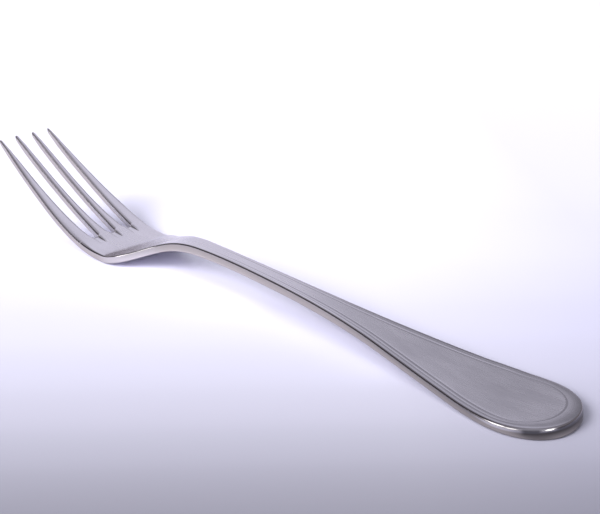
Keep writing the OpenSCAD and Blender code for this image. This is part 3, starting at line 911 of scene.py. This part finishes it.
table_mesh = bpy.data.meshes.new("table_top")
corners = [(TABLE_HALF * x, TABLE_HALF * y, 0) for x, y in ((-1, -1), (1, -1), (1, 1), (-1, 1))]
table_mesh.from_pydata(corners, [], [(0, 1, 2, 3)])
table_mesh.materials.append(table_material())
table = bpy.data.objects.new("table_top", table_mesh)
table.location.z = -TABLE_DROP * MM
bpy.context.scene.collection.objects.link(table)


# The direction to a place in the studio, given in degrees.
def toward(azimuth, elevation):
    a, e = radians(azimuth), radians(elevation)
    return Vector((cos(a) * cos(e), sin(a) * cos(e), sin(e)))


# Broad lights for the table and its shadows. The steel mirrors the studio's soft lights below instead.
def broad_light(name, azimuth, elevation, breadth, strength, color):
    data = bpy.data.lights.new(name, "SUN")
    data.angle = radians(breadth)
    data.energy = strength
    data.color = color
    lamp = bpy.data.objects.new(name, data)
    lamp.rotation_euler = (-toward(azimuth, elevation)).to_track_quat("-Z", "Y").to_euler()
    lamp.visible_glossy = False
    bpy.context.scene.collection.objects.link(lamp)


broad_light("soft_ceiling", -90, 80, 170, 0.6, (1.0, 1.0, 1.0))
broad_light("near_fill", -80, 48, 112, 2.9, (1.0, 1.0, 1.0))
broad_light("key_light", -106, 36, 30, 3.6, (1.0, 0.99, 0.97))

# Width of the wall's light strips and their distance from the wall, in millimetres.
STRIP_W = 1.5
STRIP_GAP = 1.2


# The light that the near side wall throws on the table, as strips along the wall that face down and out.
def wall_light(name, start, end, power_per_metre):
    start, end = Vector(start) * MM, Vector(end) * MM
    along = (end - start).normalized()
    out = Vector((along.y, -along.x, 0)).normalized()
    facing = (out - Vector((0, 0, 1))).normalized()
    across = (-facing).cross(along)
    data = bpy.data.lights.new(name, "AREA")
    data.shape = "RECTANGLE"
    data.size = (end - start).length
    data.size_y = STRIP_W * MM
    data.energy = power_per_metre * data.size
    lamp = bpy.data.objects.new(name, data)
    turn = Matrix((along, across, -facing)).transposed().to_4x4()
    lamp.matrix_world = Matrix.Translation((start + end) / 2 + out * STRIP_GAP * MM) @ turn
    lamp.visible_glossy = False
    lamp.visible_camera = False
    bpy.context.scene.collection.objects.link(lamp)


wall_light("off_the_shoulder", (-38, -11.4, 3), (-26, -5.4, 7.5), 0.026)
wall_light("off_the_neck", (-26, -5.4, 7.5), (8, -3.2, 9), 0.034)
wall_light("off_the_handle", (8, -3.2, 9), (60, -6.9, 4), 0.007)

# The studio that the steel mirrors: dim walls on the near side, given by their colours at elevations in
# degrees, and pale lilac ones on the far side, given by their levels.
NEAR_WALLS = [(0, (0.26, 0.23, 0.26)), (9, (0.26, 0.23, 0.26)), (20, (0.34, 0.32, 0.37)),
              (32, (0.27, 0.255, 0.3)), (50, (0.28, 0.265, 0.31)), (68, (0.34, 0.32, 0.38)),
              (80, (0.4, 0.38, 0.46)), (90, (0.42, 0.4, 0.48))]
FAR_WALLS = [(0, 0.88), (12, 0.86), (22, 0.8), (44, 0.8), (52, 0.77), (60, 0.68), (70, 0.56), (80, 0.48),
             (90, 0.42)]
WALL_BLUE = 1.205
# The far side: its middle's azimuth and elevation, and the radii between which it fades, in degrees.
FAR_SIDE = (130, 24, 20, 36)
# Dull patches and soft lights in the studio, each by its colour and, in the same way, its place.
PATCHES = [
    ((0.77, 0.758, 0.925), (112, 54, 8, 24)),
    ((0.58, 0.57, 0.69), (142, 74, 6, 14)),
    ((0.38, 0.365, 0.44), (144, 58, 5, 11)),
    ((0.94, 0.95, 1.2), (150, 0, 8, 16)),
    ((0.04, 0.036, 0.045), (-144, 36, 13, 26)),
    ((0.3, 0.296, 0.36), (112, 28, 4, 20)),
    ((0.5, 0.49, 0.58), (-42, 32, 24, 52)),
    ((2.0, 1.95, 2.0), (-88, 11, 6, 12)),
    ((3.4, 3.3, 3.4), (-109, 14, 9, 12)),
    ((5.0, 4.9, 4.9), (-18, 9, 6, 11)),
]

world = bpy.data.worlds.new("studio")
bpy.context.scene.world = world
world.use_nodes = True
sky_tree = world.node_tree
direction = sky_tree.nodes.new("ShaderNodeTexCoord").outputs["Generated"]
apart = sky_tree.nodes.new("ShaderNodeSeparateXYZ")
sky_tree.links.new(direction, apart.inputs["Vector"])


def wall_glow(stops):
    places = [(sin(radians(elevation)), color) for elevation, color in stops]
    return ramp(sky_tree, apart.outputs["Z"], places, "EASE")


def within(azimuth, elevation, inner, outer):
    low, high = cos(radians(outer)), cos(radians(inner))
    return share_along(sky_tree, direction, toward(azimuth, elevation), low, high, "SMOOTHSTEP")


far_walls = wall_glow([(elevation, lilac(level, WALL_BLUE)) for elevation, level in FAR_WALLS])
sky = laid_over(sky_tree, wall_glow(NEAR_WALLS), far_walls, within(*FAR_SIDE))
for color, patch in PATCHES:
    sky = laid_over(sky_tree, sky, color, within(*patch))
sky_tree.links.new(sky, sky_tree.nodes["Background"].inputs["Color"])
sky_tree.nodes["Background"].inputs["Strength"].default_value = 1.0
# Only the lamps light the table.
world.cycles_visibility.diffuse = False

bpy.context.scene.view_settings.view_transform = "Standard"

# The camera, from a fit of the fork's outline to the photograph: its place in millimetres, its azimuth,
# elevation and roll, its focal length and the photograph's width in pixels, and the sensor's width.
CAMERA_AT = (159.174, -142.618, 97.86)
VIEW_AZ, VIEW_EL, VIEW_ROLL = radians(43.12), radians(22.46), radians(-0.76)
FOCAL_PX = 854.4
PHOTO_W_PX = 600
SENSOR_W = 36

back = Vector((sin(VIEW_AZ) * cos(VIEW_EL), -cos(VIEW_AZ) * cos(VIEW_EL), sin(VIEW_EL)))
right = Vector((cos(VIEW_AZ), sin(VIEW_AZ), 0))
up = back.cross(right)
right, up = right * cos(VIEW_ROLL) + up * sin(VIEW_ROLL), up * cos(VIEW_ROLL) - right * sin(VIEW_ROLL)
lens = bpy.data.cameras.new("camera")
lens.sensor_fit = "HORIZONTAL"
lens.sensor_width = SENSOR_W
lens.lens = SENSOR_W * FOCAL_PX / PHOTO_W_PX
lens.clip_start = 0.01
camera = bpy.data.objects.new("camera", lens)
turn = Matrix((right, up, back)).transposed().to_4x4()
camera.matrix_world = Matrix.Translation(Vector(CAMERA_AT) * MM) @ turn
bpy.context.scene.collection.objects.link(camera)
bpy.context.scene.camera = camera

bpy.context.view_layer.update()
